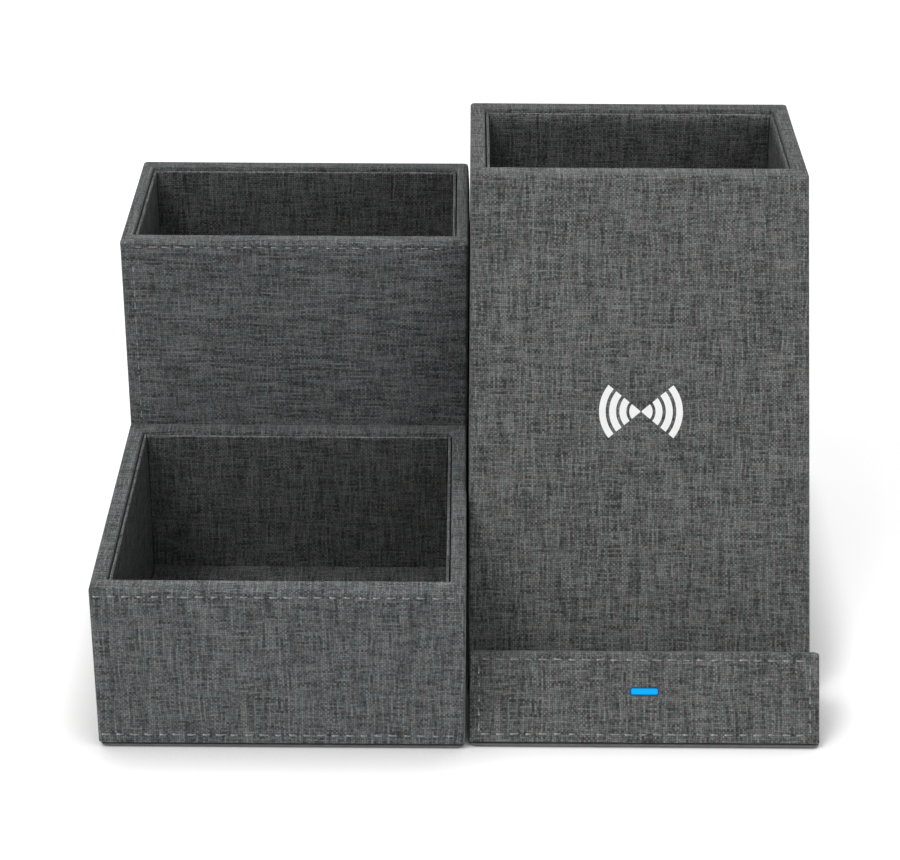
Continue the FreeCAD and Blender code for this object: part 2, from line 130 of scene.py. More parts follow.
def makeFloor():
    half = studio["floorSize"] / 2
    mesh = bpy.data.meshes.new("floor")
    corners = [(-half, -half, 0), (half, -half, 0), (half, half, 0), (-half, half, 0)]
    mesh.from_pydata(corners, [], [(0, 1, 2, 3)])
    floor = bpy.data.objects.new("floor", mesh)
    bpy.context.collection.objects.link(floor)
    material = bpy.data.materials.new("paleFloor")
    material.use_nodes = True
    tree = material.node_tree
    tree.nodes.clear()
    seen = seenDirectly(tree)
    colour = tinted(tree, seen, studio["floorColour"], studio["seenColour"])
    paint = addNode(tree, "BsdfDiffuse", {"Color": colour})
    # the floor is lifted less close to what stands on it: painted contact shadow
    near = addNode(tree, "AmbientOcclusion", {"Distance": studio["nearShade"]}, samples=4).outputs["AO"]
    full = calc(tree, "MULTIPLY", seen, studio["floorLift"])
    lift = calc(tree, "MULTIPLY", full, calc(tree, "MULTIPLY", near, near))
    glow = addNode(tree, "Emission", {"Strength": lift})
    both = addNode(tree, "AddShader", {0: paint.outputs[0], 1: glow.outputs[0]})
    addNode(tree, "OutputMaterial", {"Surface": both.outputs[0]})
    mesh.materials.append(material)


def lightWorld():
    world = bpy.data.worlds.new("paleRoom")
    bpy.context.scene.world = world
    world.use_nodes = True
    tree = world.node_tree
    tree.nodes.clear()
    extra = calc(tree, "MULTIPLY", seenDirectly(tree), 1 - studio["ambient"])
    strength = calc(tree, "ADD", extra, studio["ambient"])
    sky = addNode(tree, "Background", {"Color": (1, 1, 1, 1), "Strength": strength})
    addNode(tree, "OutputWorld", {"Surface": sky.outputs[0]})


placeCamera()
placeLamps()
makeFloor()
lightWorld()
bpy.context.scene.view_settings.view_transform = "Standard"
print("camera, floor and light are placed")


# Finishes

def newFinish(name):
    material = bpy.data.materials.new(name)
    material.use_nodes = True
    tree = material.node_tree
    return material, tree, tree.nodes["Principled BSDF"]


def stretched(tree, value, low, high, start=0.0, end=1.0, **settings):
    return addNode(tree, "MapRange", {0: value, 1: low, 2: high, 3: start, 4: end}, **settings).outputs[0]


def cloudy(tree, place, scale, detail, roughness=0.5, dimensions="2D"):
    inputs = {"Vector": place, "Scale": scale, "Detail": detail, "Roughness": roughness}
    return addNode(tree, "TexNoise", inputs, noise_dimensions=dimensions).outputs


def addTone(tree, tone, pattern, amount):
    return calc(tree, "MULTIPLY_ADD", calc(tree, "SUBTRACT", pattern, 0.5), amount, tone)


def ridge(tree, spot):
    # a round ridge over each whole number
    return calc(tree, "SINE", calc(tree, "MULTIPLY", calc(tree, "FRACT", spot), math.pi))


def finishSurface(tree, surface, colour, height, relief, depth, rough, metal=0.0):
    # depth is the bump's full height in millimetres
    bump = addNode(tree, "Bump", {"Strength": relief, "Distance": depth * mm, "Height": height})
    tree.links.new(colour, surface.inputs["Base Color"])
    tree.links.new(bump.outputs[0], surface.inputs["Normal"])
    surface.inputs["Roughness"].default_value = rough
    surface.inputs["Metallic"].default_value = metal


def yarnTone(tree, lane, along, slub, seed):
    # light and dark stretches along each thread, with no link between one thread and the next
    apart = calc(tree, "MULTIPLY_ADD", lane, 7.31, seed)
    spot = addNode(tree, "CombineXYZ", {0: apart, 1: calc(tree, "DIVIDE", along, slub)}).outputs[0]
    return stretched(tree, cloudy(tree, spot, 1.0, 2.0)[0], 0.28, 0.72)


fibreLook = {"fine": 6.0, "slant": 2.2, "run": 0.9}   # per thread pitch


def fibreStreaks(tree, across, along, seed):
    # the fine fibres that lie at a slant along one yarn
    fine = calc(tree, "MULTIPLY", across, fibreLook["fine"])
    slant = calc(tree, "MULTIPLY_ADD", along, fibreLook["slant"], fine)
    run = calc(tree, "MULTIPLY_ADD", along, fibreLook["run"], seed)
    spot = addNode(tree, "CombineXYZ", {0: slant, 1: run})
    return cloudy(tree, spot.outputs[0], 1.0, 2.0, 0.6)[0]


def weaveCloth(name, look):
    material, tree, surface = newFinish(name)
    place = addNode(tree, "UVMap", uv_map="cloth").outputs[0]
    drift = cloudy(tree, place, look["driftScale"], 2.0)["Color"]
    sway = addNode(tree, "VectorMath", {0: drift, 1: (look["drift"],) * 3}, operation="MULTIPLY")
    loose = addNode(tree, "VectorMath", {0: place, 1: sway.outputs[0]}, operation="ADD")
    split = addNode(tree, "SeparateXYZ", {0: loose.outputs[0]})
    across = calc(tree, "DIVIDE", split.outputs[0], look["pitch"])
    along = calc(tree, "DIVIDE", split.outputs[1], look["pitch"])
    column, row = calc(tree, "FLOOR", across), calc(tree, "FLOOR", along)
    warp = yarnTone(tree, column, split.outputs[1], look["warpSlub"], seed=0.37)
    weft = yarnTone(tree, row, split.outputs[0], look["weftSlub"], seed=41.9)
    # plain weave: which of the two yarns lies on top at each crossing
    over = calc(tree, "FLOORED_MODULO", calc(tree, "ADD", column, row), 2.0)
    over = calc(tree, "GREATER_THAN", over, 0.5)
    tone = mixed(tree, addTone(tree, look["warpShare"], over, look["crossing"]), weft, warp)
    tone = addTone(tree, tone, over, look["check"])
    tone = addTone(tree, tone, cloudy(tree, place, look["blotchScale"], 3.0)[0], look["blotch"])
    fuzz = cloudy(tree, place, look["fuzzScale"], 3.0, 0.7)[0]
    tone = addTone(tree, tone, fuzz, look["fuzz"])
    weftFibres = fibreStreaks(tree, along, across, seed=3.3)
    warpFibres = fibreStreaks(tree, across, along, seed=17.1)
    fibres = mixed(tree, over, weftFibres, warpFibres)
    tone = addTone(tree, tone, fibres, look["fibres"])
    tone = calc(tree, "POWER", calc(tree, "MAXIMUM", tone, 0.0), look["contrast"])
    dark, light = (tuple(c * look["strength"] for c in look[key]) + (1,) for key in ("dark", "light"))
    hue = addTone(tree, cloudy(tree, place, look["hueScale"], 3.0)[0], fibres, look["hueFibres"])
    tint = tinted(tree, stretched(tree, hue, 0.35, 0.65), look["cool"], look["warm"])
    dyed = tinted(tree, 1.0, tinted(tree, tone, dark, light), tint, blend_type="MULTIPLY")
    roundAcross, roundAlong = (calc(tree, "SQRT", ridge(tree, spot)) for spot in (across, along))
    crown = mixed(tree, over, roundAlong, roundAcross)
    dip = mixed(tree, over, roundAcross, roundAlong)
    height = calc(tree, "MULTIPLY", crown, calc(tree, "MULTIPLY_ADD", dip, look["dip"], 1 - look["dip"]))
    # painted shade in the gaps between yarns and painted highlight on their crowns
    shade = calc(tree, "MULTIPLY_ADD", height, look["gap"], 1 - look["gap"] * look["meanHeight"])
    worn = addNode(tree, "Attribute", attribute_name="edge").outputs["Fac"]   # rims: painted highlight, and painted shade where it is below zero
    shade = calc(tree, "MULTIPLY", shade, calc(tree, "MULTIPLY_ADD", worn, look["edgeLight"], 1.0))
    shaded = addNode(tree, "VectorMath", {0: dyed, "Scale": shade}, operation="SCALE").outputs[0]
    relief = calc(tree, "MULTIPLY_ADD", fuzz, look["fuzzRelief"], height)
    relief = calc(tree, "MULTIPLY_ADD", fibres, look["fibreRelief"], relief)
    finishSurface(tree, surface, shaded, relief, look["relief"], look["depth"], look["rough"])
    surface.inputs["Specular IOR Level"].default_value = look["specular"]
    surface.inputs["Sheen Weight"].default_value = look["sheen"]
    surface.inputs["Sheen Roughness"].default_value = look["sheenRough"]
    return material


clothLook = {  # pitch, drift, slubs and depth in millimetres, scales per millimetre
    "pitch": 0.62, "drift": 1.2, "driftScale": 0.11, "warpSlub": 11.0, "weftSlub": 8.0,
    "blotch": 0.1, "blotchScale": 0.09, "fuzz": 1.5, "fuzzScale": 1.1, "fibres": 0.5,
    "hueScale": 0.3, "hueFibres": 0.5, "contrast": 1.1, "crossing": 0.5, "warpShare": 0.54, "check": 0.1,
    "gap": 0.9, "meanHeight": 0.66, "dip": 0.45, "relief": 0.8, "depth": 0.16,
    "fuzzRelief": 0.3, "fibreRelief": 0.25,
    "dark": (0.028, 0.030, 0.030), "light": (0.19, 0.195, 0.195), "strength": 1.0,
    "cool": (0.95, 1.02, 1.0, 1), "warm": (1.05, 0.985, 0.975, 1), "edgeLight": 0.4,
    "rough": 0.86, "specular": 0.22, "sheen": 0.12, "sheenRough": 0.5,
}
cooler = {"cool": (0.92, 1.01, 1.035, 1), "warm": (1.025, 1.0, 0.985, 1)}
chargerCloth = weaveCloth("chargerCloth", clothLook)
trayCloth = weaveCloth("trayCloth", {**clothLook, **cooler})
# the bin's cloth is darkened to 0.93 as painted shade on the bin's face
binCloth = weaveCloth("binCloth", {**clothLook, **cooler, "weftSlub": 12.0, "warpSlub": 7.0,
                                   "warpShare": 0.4, "strength": 0.93})
# the lining is the cloth darkened to 0.7 as painted shade of the deep insides, with a strong painted
# highlight on the cards' top edges
liningCloth = weaveCloth("liningCloth", {**clothLook, "strength": 0.70, "sheen": 0.0, "edgeLight": 0.9})


def mottledFinish(name, middle, vary, cloudScale, grainScale, relief, rough, metal=0.0):
    # cloudy variation, grain and a little relief on one colour, for boards, plastics and metals
    material, tree, surface = newFinish(name)
    place = addNode(tree, "TexCoord").outputs["Object"]
    cloud = cloudy(tree, place, cloudScale, 4.0, dimensions="3D")[0]
    grain = cloudy(tree, place, grainScale, 3.0, dimensions="3D")[0]
    both = calc(tree, "ADD", calc(tree, "MULTIPLY", cloud, 0.6), calc(tree, "MULTIPLY", grain, 0.4))
    dark, light = (tuple(min(1, c * (1 + change)) for c in middle) + (1,) for change in (-vary, vary))
    colour = tinted(tree, stretched(tree, both, 0.35, 0.65), dark, light)
    finishSurface(tree, surface, colour, grain, relief, depth=0.1, rough=rough, metal=metal)
    return material


finishLooks = {  # colour, variation, cloud and grain scales per metre, relief, roughness, metal
    "fibreboard": ((0.36, 0.27, 0.19), 0.18, 90, 2400, 0.5, 0.9),
    "baseSheet": ((0.12, 0.122, 0.122), 0.2, 300, 3000, 0.5, 0.62),
    "footRubber": ((0.03, 0.03, 0.032), 0.15, 200, 4000, 0.3, 0.8),
    "magnetPlating": ((0.72, 0.72, 0.72), 0.05, 300, 5000, 0.1, 0.18, 1.0),
    "chipBlack": ((0.03, 0.03, 0.03), 0.1, 300, 9000, 0.2, 0.5),
    "connectorNylon": ((0.72, 0.70, 0.62), 0.04, 200, 6000, 0.1, 0.45),
    "ferriteGrey": ((0.09, 0.09, 0.095), 0.15, 200, 5000, 0.3, 0.55),
    "carrierPlastic": ((0.05, 0.05, 0.055), 0.08, 150, 7000, 0.2, 0.42),
    "screwSteel": ((0.5, 0.5, 0.51), 0.1, 400, 6000, 0.2, 0.32, 1.0),
    "standoffBrass": ((0.75, 0.6, 0.3), 0.08, 400, 6000, 0.15, 0.3, 1.0),
    "socketSteel": ((0.6, 0.6, 0.62), 0.06, 400, 8000, 0.1, 0.25, 1.0),
    "surroundPlastic": ((0.045, 0.045, 0.05), 0.1, 300, 5000, 0.35, 0.5),
    "leadJacket": ((0.04, 0.04, 0.04), 0.1, 300, 3000, 0.2, 0.6),
    "whitePrint": ((0.9, 0.9, 0.9), 0.03, 400, 2600, 0.35, 0.6),
}
finish = {name: mottledFinish(name, *look) for name, look in finishLooks.items()}


def copperTurns(name, centre, turnPitch):
    # fine rings of enamelled wire round the coil's centre
    material, tree, surface = newFinish(name)
    place = addNode(tree, "TexCoord").outputs["Object"]
    reach = addNode(tree, "VectorMath", {0: place, 1: centre}, operation="DISTANCE").outputs["Value"]
    wire = ridge(tree, calc(tree, "DIVIDE", reach, turnPitch))
    # the colour is lighter on each turn's crown and darker between turns: painted highlight and shade
    colour = tinted(tree, wire, (0.25, 0.09, 0.04, 1), (0.75, 0.38, 0.2, 1))
    finishSurface(tree, surface, colour, wire, relief=0.6, depth=0.3, rough=0.35, metal=0.85)
    return material


def solderMask(name):
    # green board with lighter tracks
    material, tree, surface = newFinish(name)
    place = addNode(tree, "TexCoord").outputs["Object"]
    cells = addNode(tree, "TexVoronoi", {"Vector": place, "Scale": 420.0}, distance="MANHATTAN",
                    feature="DISTANCE_TO_EDGE").outputs["Distance"]
    track = calc(tree, "LESS_THAN", cells, 0.06)
    colour = tinted(tree, track, (0.01, 0.12, 0.05, 1), (0.03, 0.24, 0.1, 1))
    finishSurface(tree, surface, colour, track, relief=0.3, depth=0.05, rough=0.3)
    return material


def sewingThread(name):
    # pale grey thread, its plies twisted round it; U runs along the thread and V round it
    material, tree, surface = newFinish(name)
    split = addNode(tree, "SeparateXYZ", {0: addNode(tree, "UVMap", uv_map="cloth").outputs[0]})
    # the plies are painted lighter on their crowns and darker between them: painted highlight and shade
    ply = ridge(tree, calc(tree, "ADD", calc(tree, "MULTIPLY", split.outputs[0], 2.4), split.outputs[1]))
    place = addNode(tree, "TexCoord").outputs["Object"]
    rubbed = stretched(tree, cloudy(tree, place, 900.0, 2.0, dimensions="3D")[0], 0.3, 0.6)
    # each stitch is lighter over its first half millimetre and dimmer beyond 1.1 mm, a painted highlight
    knot = stretched(tree, split.outputs[0], 0.5, 1.1, 1.0, 0.45)
    share = calc(tree, "MULTIPLY", calc(tree, "MULTIPLY", ply, rubbed), knot)
    colour = tinted(tree, share, (0.15, 0.155, 0.155, 1), (0.54, 0.55, 0.55, 1))
    finishSurface(tree, surface, colour, ply, relief=0.6, depth=0.08, rough=0.7)
    return material


def blueLight(name, look):
    # clear blue window that glows from within, darker towards its edge; U is the distance from the edge
    material, tree, surface = newFinish(name)
    split = addNode(tree, "SeparateXYZ", {0: addNode(tree, "UVMap", uv_map="cloth").outputs[0]})
    inside = stretched(tree, split.outputs[0], 0.0, look["edge"], interpolation_type="SMOOTHSTEP")
    colour = tinted(tree, inside, look["edgeColour"], look["glow"])
    tree.links.new(colour, surface.inputs["Emission Color"])
    surface.inputs["Emission Strength"].default_value = 1.0
    surface.inputs["Base Color"].default_value = (0.0, 0.01, 0.04, 1)
    surface.inputs["Roughness"].default_value = 0.3
    surface.inputs["Specular IOR Level"].default_value = 0.12
    return material


threadFinish = sewingThread("sewingThread")
boardFinish = solderMask("solderMask")
print("finishes are mixed")


# Making meshes

def makePiece(name, points, faces, threads, material, body, nodes=(), edge=()):
    # threads holds, for each corner of each face, where in the weave it lies, as a pair of millimetres
    # edge holds, for each point, its painted highlight; below zero it is painted shade
    mesh = bpy.data.meshes.new(name)
    mesh.from_pydata([tuple(p * mm) for p in points], [], faces)
    layer = mesh.uv_layers.new(name="cloth")
    layer.data.foreach_set("uv", [number for pair in threads for number in pair])
    if edge:
        mesh.attributes.new("edge", "FLOAT", "POINT").data.foreach_set("value", edge)
    mesh.polygons.foreach_set("use_smooth", [True] * len(mesh.polygons))
    mesh.set_sharp_from_angle(angle=math.radians(50))
    mesh.materials.append(material)
    piece = bpy.data.objects.new(name, mesh)
    bpy.context.collection.objects.link(piece)
    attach(piece, body)
    if nodes:
        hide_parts(*nodes)
    return piece


def applyModifiers(piece):
    shown = piece.evaluated_get(bpy.context.evaluated_depsgraph_get())
    mesh = bpy.data.meshes.new_from_object(shown)
    piece.modifiers.clear()
    piece.data = mesh


def cutAway(piece, points, faces):
    mesh = bpy.data.meshes.new("cutter")
    mesh.from_pydata([tuple(p * mm) for p in points], [], faces)
    cutter = bpy.data.objects.new("cutter", mesh)
    bpy.context.collection.objects.link(cutter)
    cut = piece.modifiers.new("cut", "BOOLEAN")
    cut.operation = "DIFFERENCE"
    cut.solver = "EXACT"
    cut.object = cutter
    applyModifiers(piece)
    bpy.data.objects.remove(cutter)


seamStops = {"clear": 1.25, "border": 0.1, "offsets": (-1.0, -0.6, -0.3, 0.0, 0.3, 0.6, 1.0)}


def stops(start, end, spacing, seams=()):
    # even places from start to end, with closer ones beside each seam
    border = seamStops["border"]
    count = max(1, round((end - start) / spacing))
    places = [start + (end - start) * i / count for i in range(count + 1)]
    for seam in seams:
        places = [p for p in places if abs(p - seam) > seamStops["clear"] or p in (start, end)]
        places += [seam + offset for offset in seamStops["offsets"]
                   if start + border < seam + offset < end - border]
    return sorted(places)


def bend(before, corner, after, radius, steps):
    # points of the arc that rounds this corner
    wayIn, wayOut = (before - corner).normalized(), (after - corner).normalized()
    half = wayIn.angle(wayOut) / 2
    centre = corner + (wayIn + wayOut).normalized() * (radius / math.sin(half))
    first = corner + wayIn * (radius / math.tan(half)) - centre
    last = corner + wayOut * (radius / math.tan(half)) - centre
    turn = first.angle(last)
    arc = []
    for i in range(steps + 1):
        t = i / steps
        way = first * math.sin((1 - t) * turn) + last * math.sin(t * turn)
        arc.append(centre + way / math.sin(turn))
    return arc


def ringFaces(levels, count):
    # the walls between rings of points, and the lowest and highest ring as caps
    walls = []
    for k in range(levels - 1):
        for i in range(count):
            j = (i + 1) % count
            walls.append((k * count + i, k * count + j, (k + 1) * count + j, (k + 1) * count + i))
    return walls, [tuple(range(count))[::-1], tuple(range((levels - 1) * count, levels * count))]


# Sewing. A chart is one flat face of the cloth: its start, its ways along, up and out, and its sewn rows.

sewing = {
    "pitch": 3.97, "visible": 2.75, "radius": 0.24, "rise": 0.12, "bury": 0.3, "sides": 6, "steps": 8,
    "arch": 0.7, "slim": 0.7, "sink": 0.2, "sinkWidth": 0.45, "holes": 0.35, "knot": 0.45,
    "knotPlace": 0.2, "wander": 0.08, "slip": 0.12, "tilt": 0.09,
    "shortest": 0.74, "longest": 1.14, "lowest": 0.6, "highest": 1.25,
}
unevenness = {"broad": 13, "fine": 4, "fineShare": 0.35, "border": 8.0, "crownBorder": 6.0}


def newChart(start, along, up, size, seed, wave, rows=()):
    return {"start": start, "along": along, "up": up, "out": along.cross(up), "size": size, "seed": seed,
            "wave": wave, "rows": [(Vector(a), Vector(b)) for a, b in rows], "press": 1.0, "crown": 0.0}


def chartPlace(chart, point):
    offset = point - chart["start"]
    return offset.dot(chart["along"]), offset.dot(chart["up"])


def clothLift(chart, a, b):
    # the cloth's slight unevenness, which dies out at its edges, less the furrow along sewn rows
    width, height = chart["size"]
    inset = max(0.0, min(a, width - a, b, height - b))
    swing = chart["wave"] * min(1.0, inset / unevenness["border"])
    broad, fine = (Vector((a, b)) / unevenness[key] for key in ("broad", "fine"))
    lift = chart["crown"] * min(1.0, inset / unevenness["crownBorder"])
    lift += swing * noise.noise(Vector((*broad, chart["seed"])))
    lift += swing * unevenness["fineShare"] * noise.noise(Vector((*fine, chart["seed"] + 9)))
    for start, end in chart["rows"]:
        run = end - start
        way = run.normalized()
        offset = Vector((a, b)) - start
        reach = offset.dot(way)
        aside = abs(offset.x * way.y - offset.y * way.x)
        beyond = max(0.0, -reach, reach - run.length)
        if aside < 2 and beyond < 2:
            turn = 2 * math.pi * reach / sewing["pitch"]
            hole = 1 - sewing["holes"] + sewing["holes"] * math.cos(turn)
            lift -= sewing["sink"] * hole * math.exp(-(aside / sewing["sinkWidth"]) ** 2 - beyond ** 2)
    return lift


def onChart(chart, a, b, lift):
    return chart["start"] + chart["along"] * a + chart["up"] * b + chart["out"] * lift


def sewRows(name, charts, body):
    draw = random.Random(name)
    points, faces, threads = [], [], []
    sides, steps = sewing["sides"], sewing["steps"]
    for chart in charts:
        for start, end in chart["rows"]:
            way = (end - start).normalized()
            acrossWay = Vector((-way.y, way.x))
            for k in range(int((end - start).length / sewing["pitch"])):
                slip = draw.uniform(-sewing["slip"], sewing["slip"])
                middle = start + way * ((k + 0.5) * sewing["pitch"] + slip)
                length = sewing["visible"] * draw.uniform(sewing["shortest"], sewing["longest"])
                tilt = draw.uniform(-sewing["tilt"], sewing["tilt"])
                aside = draw.uniform(-1, 1) * sewing["wander"]
                rise = sewing["rise"] * draw.uniform(sewing["lowest"], sewing["highest"])
                rise += (chart["press"] - 1) * sewing["radius"]
                first = len(points)
                for i in range(steps + 1):
                    t = i / steps
                    reach = (t - 0.5) * length
                    spot = middle + way * reach + acrossWay * (aside + reach * tilt)
                    arch = math.sin(math.pi * t) ** sewing["arch"] if 0 < t < 1 else 0.0
                    lift = clothLift(chart, *spot) + (rise + sewing["bury"]) * arch - sewing["bury"]
                    knot = sewing["knot"] * math.exp(-(t / sewing["knotPlace"] - 1) ** 2)
                    swell = sewing["slim"] + (1 - sewing["slim"]) * arch + knot
                    radius = chart["press"] * sewing["radius"] * swell
                    for j in range(sides):
                        turn = 2 * math.pi * j / sides
                        place = spot + acrossWay * (radius * math.cos(turn))
                        points.append(onChart(chart, place.x, place.y, lift + radius * math.sin(turn)))
                for i in range(steps):
                    for j in range(sides):
                        a, b = first + i * sides + j, first + i * sides + (j + 1) % sides
                        faces.append((a, a + sides, b + sides, b))
                        u0, u1 = length * i / steps, length * (i + 1) / steps
                        v0, v1 = j / sides, (j + 1) / sides
                        threads += [(u0, v0), (u1, v0), (u1, v1), (u0, v1)]
                ring = list(range(first, first + sides))
                faces.append(tuple(ring))
                faces.append(tuple(i + steps * sides for i in reversed(ring)))
                threads += [(0, 0)] * (2 * sides)
    return makePiece(name, points, faces, threads, threadFinish, body)


# Sleeves: the cloth round a case's walls, over the rim and a little way down inside

sleeveLook = {  # the rim values per side are painted highlight on each side's rim; the rear's is below zero, painted shade
    "rimRadius": 1.0, "innerRadius": 0.75, "footRadius": 0.25, "cornerRadius": 1.0, "innerCorner": 0.7,
    "underside": 1.6, "turnIn": 12.0, "cloth": 0.5, "rowSpacing": 3.0, "columnSpacing": 1.2,
    "cornerSteps": 6, "bendSteps": 5, "wave": 0.14,
    "weaveShift": (13.7, 5.3), "worn": {"front": 0.9, "right": 0.3, "rear": -0.3, "left": 0.5},
    "outerShare": 0.6, "innerShare": 1.2,
}
sideNames = ("front", "right", "rear", "left")
# the sides that meet between the cases are calm; the bin's swells and closes the seam
facing = {"wave": 0.03, "press": 0.5, "swell": 0.5, "easeTray": 0.15, "easeLip": 0.35}


def ringPoint(place, rect, radius):
    side, kind, share = place
    x0, x1, y0, y1 = rect
    start, way, inward, length = {
        "front": ((x0, y0), (1, 0), (0, 1), x1 - x0),
        "right": ((x1, y0), (0, 1), (-1, 0), y1 - y0),
        "rear": ((x1, y1), (-1, 0), (0, -1), x1 - x0),
        "left": ((x0, y1), (0, -1), (1, 0), y1 - y0),
    }[side]
    if kind == "straight":
        ahead, inset = radius + share * (length - 2 * radius), 0.0
    else:
        angle = share * math.pi / 2
        ahead, inset = length - radius + radius * math.sin(angle), radius * (1 - math.cos(angle))
    return start[0] + way[0] * ahead + inward[0] * inset, start[1] + way[1] * ahead + inward[1] * inset


def makeSleeve(name, wall, body, material, seed, rows=None):
    # wall gives outer and inner rectangle, bottom, top, the front's lean, the facing side and its crown
    look, rows = sleeveLook, rows or {}
    x0, x1, y0, y1 = wall["outer"]
    bottom, top, lean = wall["bottom"], wall["top"], math.radians(wall["lean"])
    height = top - bottom

    def outerRect(z):
        return x0, x1, y0 - (top - z) * math.tan(lean), y1

    leaning = Vector((0, math.sin(lean), math.cos(lean)))
    spreads = {
        "front": (Vector((x0, outerRect(bottom)[2], bottom)), right, leaning,
                  (x1 - x0, height / math.cos(lean))),
        "right": (Vector((x1, y0, bottom)), back, upright, (y1 - y0, height)),
        "rear": (Vector((x1, y1, bottom)), -right, upright, (x1 - x0, height)),
        "left": (Vector((x0, y1, bottom)), -back, upright, (y1 - y0, height)),
    }
    charts = {side: newChart(*spreads[side], seed + 2 * i, look["wave"], rows.get(side, ()))
              for i, side in enumerate(sideNames)}
    meeting = charts[wall["facing"]]
    meeting["wave"], meeting["press"], meeting["crown"] = facing["wave"], facing["press"], wall["crown"]
    level = {row[0].y for chart in charts.values() for row in chart["rows"] if row[0].y == row[1].y}
    heights = stops(bottom + look["footRadius"] + 0.5, top - look["rimRadius"] - 0.1, look["rowSpacing"],
                    [bottom + b for b in level])
    places = []
    for side in sideNames:
        width = charts[side]["size"][0]
        plumb = [row[0].x for row in charts[side]["rows"] if row[0].x == row[1].x]
        along = stops(0, width, look["columnSpacing"], plumb)
        places += [(side, "straight", a / width) for a in along]
        places += [(side, "corner", i / look["cornerSteps"]) for i in range(1, look["cornerSteps"])]

    def column(place):
        def outerAt(z):
            return Vector((*ringPoint(place, outerRect(z), look["cornerRadius"]), z))
        foot, rim = outerAt(bottom), outerAt(top)
        inner = Vector((*ringPoint(place, wall["inner"], look["innerCorner"]), top))
        inward = (inner - rim).normalized()
        under, deep = foot + inward * look["underside"], inner - upright * look["turnIn"]
        face = [outerAt(z) for z in heights]
        if place[1] == "straight":
            chart = charts[place[0]]
            face = [p + chart["out"] * clothLift(chart, *chartPlace(chart, p)) for p in face]
        steps, cloth = look["bendSteps"], look["cloth"]
        outside = [under] + bend(under, foot, rim, look["footRadius"], steps) + face
        outside += bend(foot, rim, inner, look["rimRadius"], steps)
        turned = len(outside)
        outside += bend(rim, inner, deep, look["innerRadius"], steps) + [deep]
        behind, lower = inward * cloth * 1.2, upright * cloth
        inside = [deep - inward * cloth, inner - inward * cloth - lower, rim + behind - lower,
                  foot + behind + lower, under + lower]
        return outside + inside, turned

    columns = [column(place) for place in places]
    turned = columns[0][1]
    columns = [points for points, _ in columns]
    count = len(columns[0])
    points = [p for c in columns for p in c]

    def threadPlace(side, p, row):
        chart = charts[side]
        inset = {"front": p.y - y0, "right": x1 - p.x, "rear": y1 - p.y, "left": p.x - x0}[side]
        rise = (p.z - bottom) / (math.cos(lean) if side == "front" else 1)
        tall = chart["size"][1]
        v = rise + max(0.0, inset) if row < turned else tall + inset + top - p.z
        u = (p - chart["start"]).dot(chart["along"])
        return u + seed * look["weaveShift"][0], v + seed * look["weaveShift"][1]

    faces, threads = [], []
    for c, place in enumerate(places):
        d = (c + 1) % len(places)
        after = places[d]
        share = place[2] if place[1] == "corner" else 0.0 if after[1] == "corner" else -1.0
        side = place[0]
        if share >= 0 and share + 0.5 / look["cornerSteps"] > 0.5:
            side = sideNames[(sideNames.index(side) + 1) % 4]
        for r in range(count):
            s = (r + 1) % count
            corners = (c * count + r, d * count + r, d * count + s, c * count + s)
            faces.append(corners)
            threads += [threadPlace(side, points[i], r) for i in corners]
    steps = look["bendSteps"]
    shares = [0.0] * (2 + steps + len(heights))
    shares += [look["outerShare"]] * (steps + 1) + [look["innerShare"]] * steps
    shares += [0.0] * (count - len(shares))
    # each side's rim rows take painted highlight, and the rear rim takes painted shade
    edge = [look["worn"][side] * share for side, _, _ in places for share in shares]
    piece = makePiece(name, points, faces, threads, material, body, [name], edge)
    return piece, charts


# Storage module: tray and bin

def wallOf(name, lining, side, crown=0.0, lean=0.0):
    low, high = nodeBox(name + "_cover")
    leftLow, rightHigh = nodeBox(lining + "_lining_left")[0], nodeBox(lining + "_lining_right")[1]
    frontLow, rearHigh = nodeBox(lining + "_lining_front")[0], nodeBox(lining + "_lining_rear")[1]
    return {"outer": (low.x, high.x, low.y, high.y), "bottom": low.z, "top": high.z, "lean": lean,
            "inner": (leftLow.x, rightHigh.x, frontLow.y, rearHigh.y), "facing": side, "crown": crown}


def rowRound(width, b, inset=0.1):
    return ((inset, b), (width - inset, b))


trayRows = {"belowRim": 2.4, "aboveFoot": 2.7}
trayWall = wallOf("tray", "tray", "right")
x0, x1, y0, y1 = trayWall["outer"]
trayWall["outer"] = (x0, x1 - facing["easeTray"], y0, y1)
trayWidth, trayDepth = x1 - facing["easeTray"] - x0, y1 - y0
trayTall = trayWall["top"] - trayWall["bottom"]
trayLevels = (trayTall - trayRows["belowRim"], trayRows["aboveFoot"])
_, trayCharts = makeSleeve("tray_cover", trayWall, storage, trayCloth, seed=3, rows={
    "front": [rowRound(trayWidth, b) for b in trayLevels],
    "right": [rowRound(trayDepth, b) for b in trayLevels],
    "left": [rowRound(trayDepth, b) for b in trayLevels],
})
sewRows("tray_stitching", trayCharts.values(), storage)

binRows = {"belowRim": 2.0, "fromSide": 3.5, "aboveTray": 1.0, "belowRow": 2.0, "frontPress": 0.75}
binWall = wallOf("bin", "bin", "right", facing["swell"])
x0, x1, y0, y1 = binWall["outer"]
binWidth, binDepth = x1 - x0, y1 - y0
binLevel = binWall["top"] - binWall["bottom"] - binRows["belowRim"]
columnFoot, columnTop = trayTall + binRows["aboveTray"], binLevel - binRows["belowRow"]
_, binCharts = makeSleeve("bin_cover", binWall, storage, binCloth, seed=21, rows={
    "front": [rowRound(binWidth, binLevel, binRows["fromSide"]),
              ((binRows["fromSide"], columnFoot), (binRows["fromSide"], columnTop))],
    "right": [rowRound(binDepth, binLevel)],
    "rear": [rowRound(binWidth, binLevel)],
    "left": [rowRound(binDepth, binLevel)],
})
binCharts["front"]["press"] = binRows["frontPress"]
sewRows("bin_stitching", binCharts.values(), storage)
print("tray and bin are covered")


# Charging module: its case, lip and ledge

